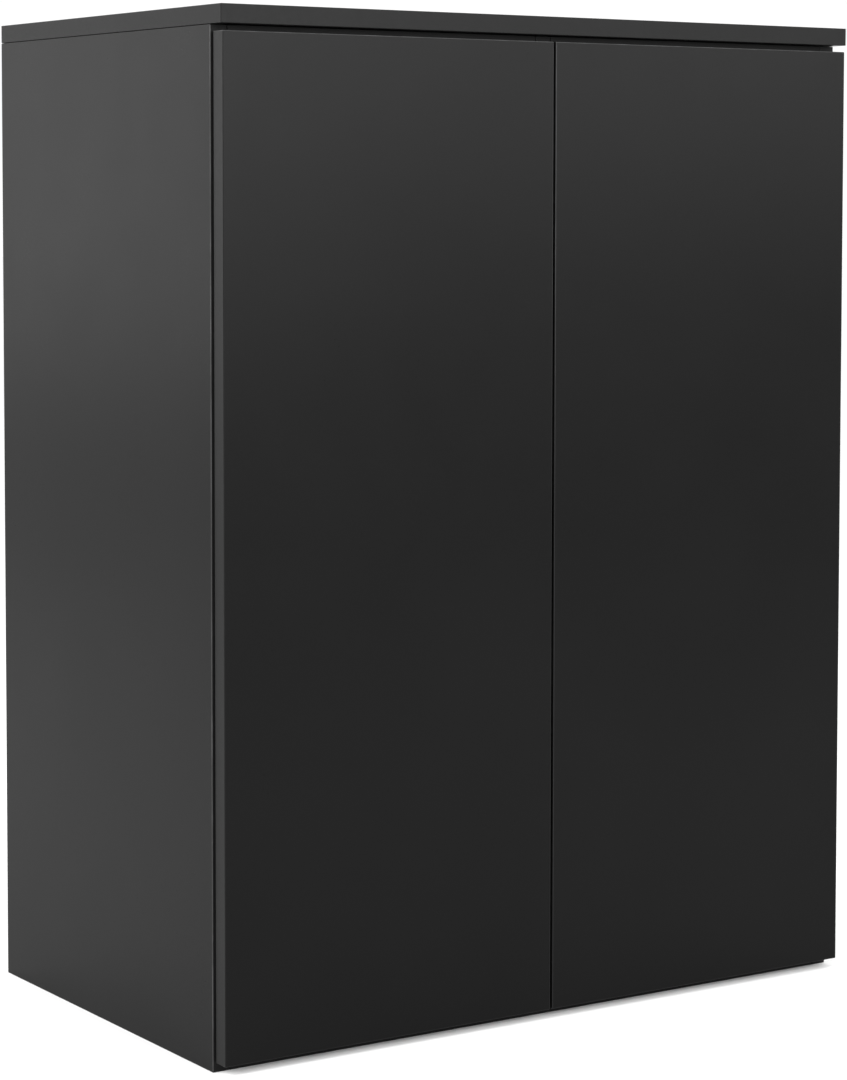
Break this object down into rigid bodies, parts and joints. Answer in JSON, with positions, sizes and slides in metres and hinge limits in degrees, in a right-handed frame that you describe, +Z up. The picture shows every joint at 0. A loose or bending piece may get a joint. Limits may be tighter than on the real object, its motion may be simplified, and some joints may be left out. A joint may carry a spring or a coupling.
{
  "type": "two-door wardrobe",
  "caption": "Low matte black wardrobe with two handle-less push-to-open doors, a hanging half with a clothes rail and a half with adjustable shelves.",
  "frame": {"origin": "middle of the width and of the whole depth, on the floor", "axes": "+Z up, -Y out of the doors, +X to the right of someone facing the doors"},
  "size_m": [0.8, 0.49, 1.06],
  "materials": {
    "black_board": "matte black melamine-faced particle board with matching edge band",
    "black_hardboard": "matte black lacquered hardboard",
    "nickel_steel": "nickel-plated pressed steel",
    "dark_steel": "dark oiled steel pin",
    "black_rail_steel": "satin black powder coat",
    "black_plastic": "black moulded plastic",
    "grey_plastic": "grey moulded acetal",
    "clear_rubber": "translucent soft buffer"
  },
  "bodies": {
    "carcass": {"back_panel": "black_hardboard", "bottom_panel": "black_board", "centre_divider": "black_board", "clothes_rail": "black_rail_steel", "clothes_rail_socket_inner": "black_plastic", "clothes_rail_socket_outer": "black_plastic", "front_top_rail_left": "black_board", "front_top_rail_right": "black_board", "left_latch_housing": "black_plastic", "left_lower_hinge_arm": "nickel_steel", "left_lower_hinge_mounting_plate": "nickel_steel", "left_side_panel": "black_board", "left_upper_hinge_arm": "nickel_steel", "left_upper_hinge_mounting_plate": "nickel_steel", "rear_bottom_rail": "black_board", "rear_top_rail": "black_board", "right_latch_housing": "black_plastic", "right_lower_hinge_arm": "nickel_steel", "right_lower_hinge_mounting_plate": "nickel_steel", "right_side_panel": "black_board", "right_upper_hinge_arm": "nickel_steel", "right_upper_hinge_mounting_plate": "nickel_steel", "shelf_1": "black_board", "shelf_2": "black_board", "shelf_3": "black_board", "shelf_pin_1_left_front": "nickel_steel", "shelf_pin_1_left_rear": "nickel_steel", "shelf_pin_1_right_front": "nickel_steel", "shelf_pin_1_right_rear": "nickel_steel", "shelf_pin_2_left_front": "nickel_steel", "shelf_pin_2_left_rear": "nickel_steel", "shelf_pin_2_right_front": "nickel_steel", "shelf_pin_2_right_rear": "nickel_steel", "shelf_pin_3_left_front": "nickel_steel", "shelf_pin_3_left_rear": "nickel_steel", "shelf_pin_3_right_front": "nickel_steel", "shelf_pin_3_right_rear": "nickel_steel", "top_panel": "black_board"},
    "left_door_leaf": {"left_door": "black_board", "left_door_buffer": "clear_rubber", "left_lower_hinge_cup": "nickel_steel", "left_lower_hinge_pin": "dark_steel", "left_strike_plate": "nickel_steel", "left_upper_hinge_cup": "nickel_steel", "left_upper_hinge_pin": "dark_steel"},
    "right_door_leaf": {"right_door": "black_board", "right_door_buffer": "clear_rubber", "right_lower_hinge_cup": "nickel_steel", "right_lower_hinge_pin": "dark_steel", "right_strike_plate": "nickel_steel", "right_upper_hinge_cup": "nickel_steel", "right_upper_hinge_pin": "dark_steel"},
    "left_plunger": {"left_latch_plunger": "grey_plastic"},
    "right_plunger": {"right_latch_plunger": "grey_plastic"}
  },
  "joints": [
    {"name": "left_door_hinge", "type": "hinge", "parent": "carcass", "child": "left_door_leaf", "pos_m": [-0.3905, -0.237, 0.522], "axis": [0, 0, -1], "range_deg": [0, 95]},
    {"name": "right_door_hinge", "type": "hinge", "parent": "carcass", "child": "right_door_leaf", "pos_m": [0.3905, -0.237, 0.522], "axis": [0, 0, 1], "range_deg": [0, 95]},
    {"name": "left_latch_travel", "type": "slide", "parent": "carcass", "child": "left_plunger", "axis": [0, -1, 0], "range_m": [0, 0.014]},
    {"name": "right_latch_travel", "type": "slide", "parent": "carcass", "child": "right_plunger", "axis": [0, -1, 0], "range_m": [0, 0.014]}
  ],
  "couplings": [
    {"joint": "left_latch_travel", "follows": "left_door_hinge", "m_per_rad": 0.0084},
    {"joint": "right_latch_travel", "follows": "right_door_hinge", "m_per_rad": 0.0084}
  ]
}
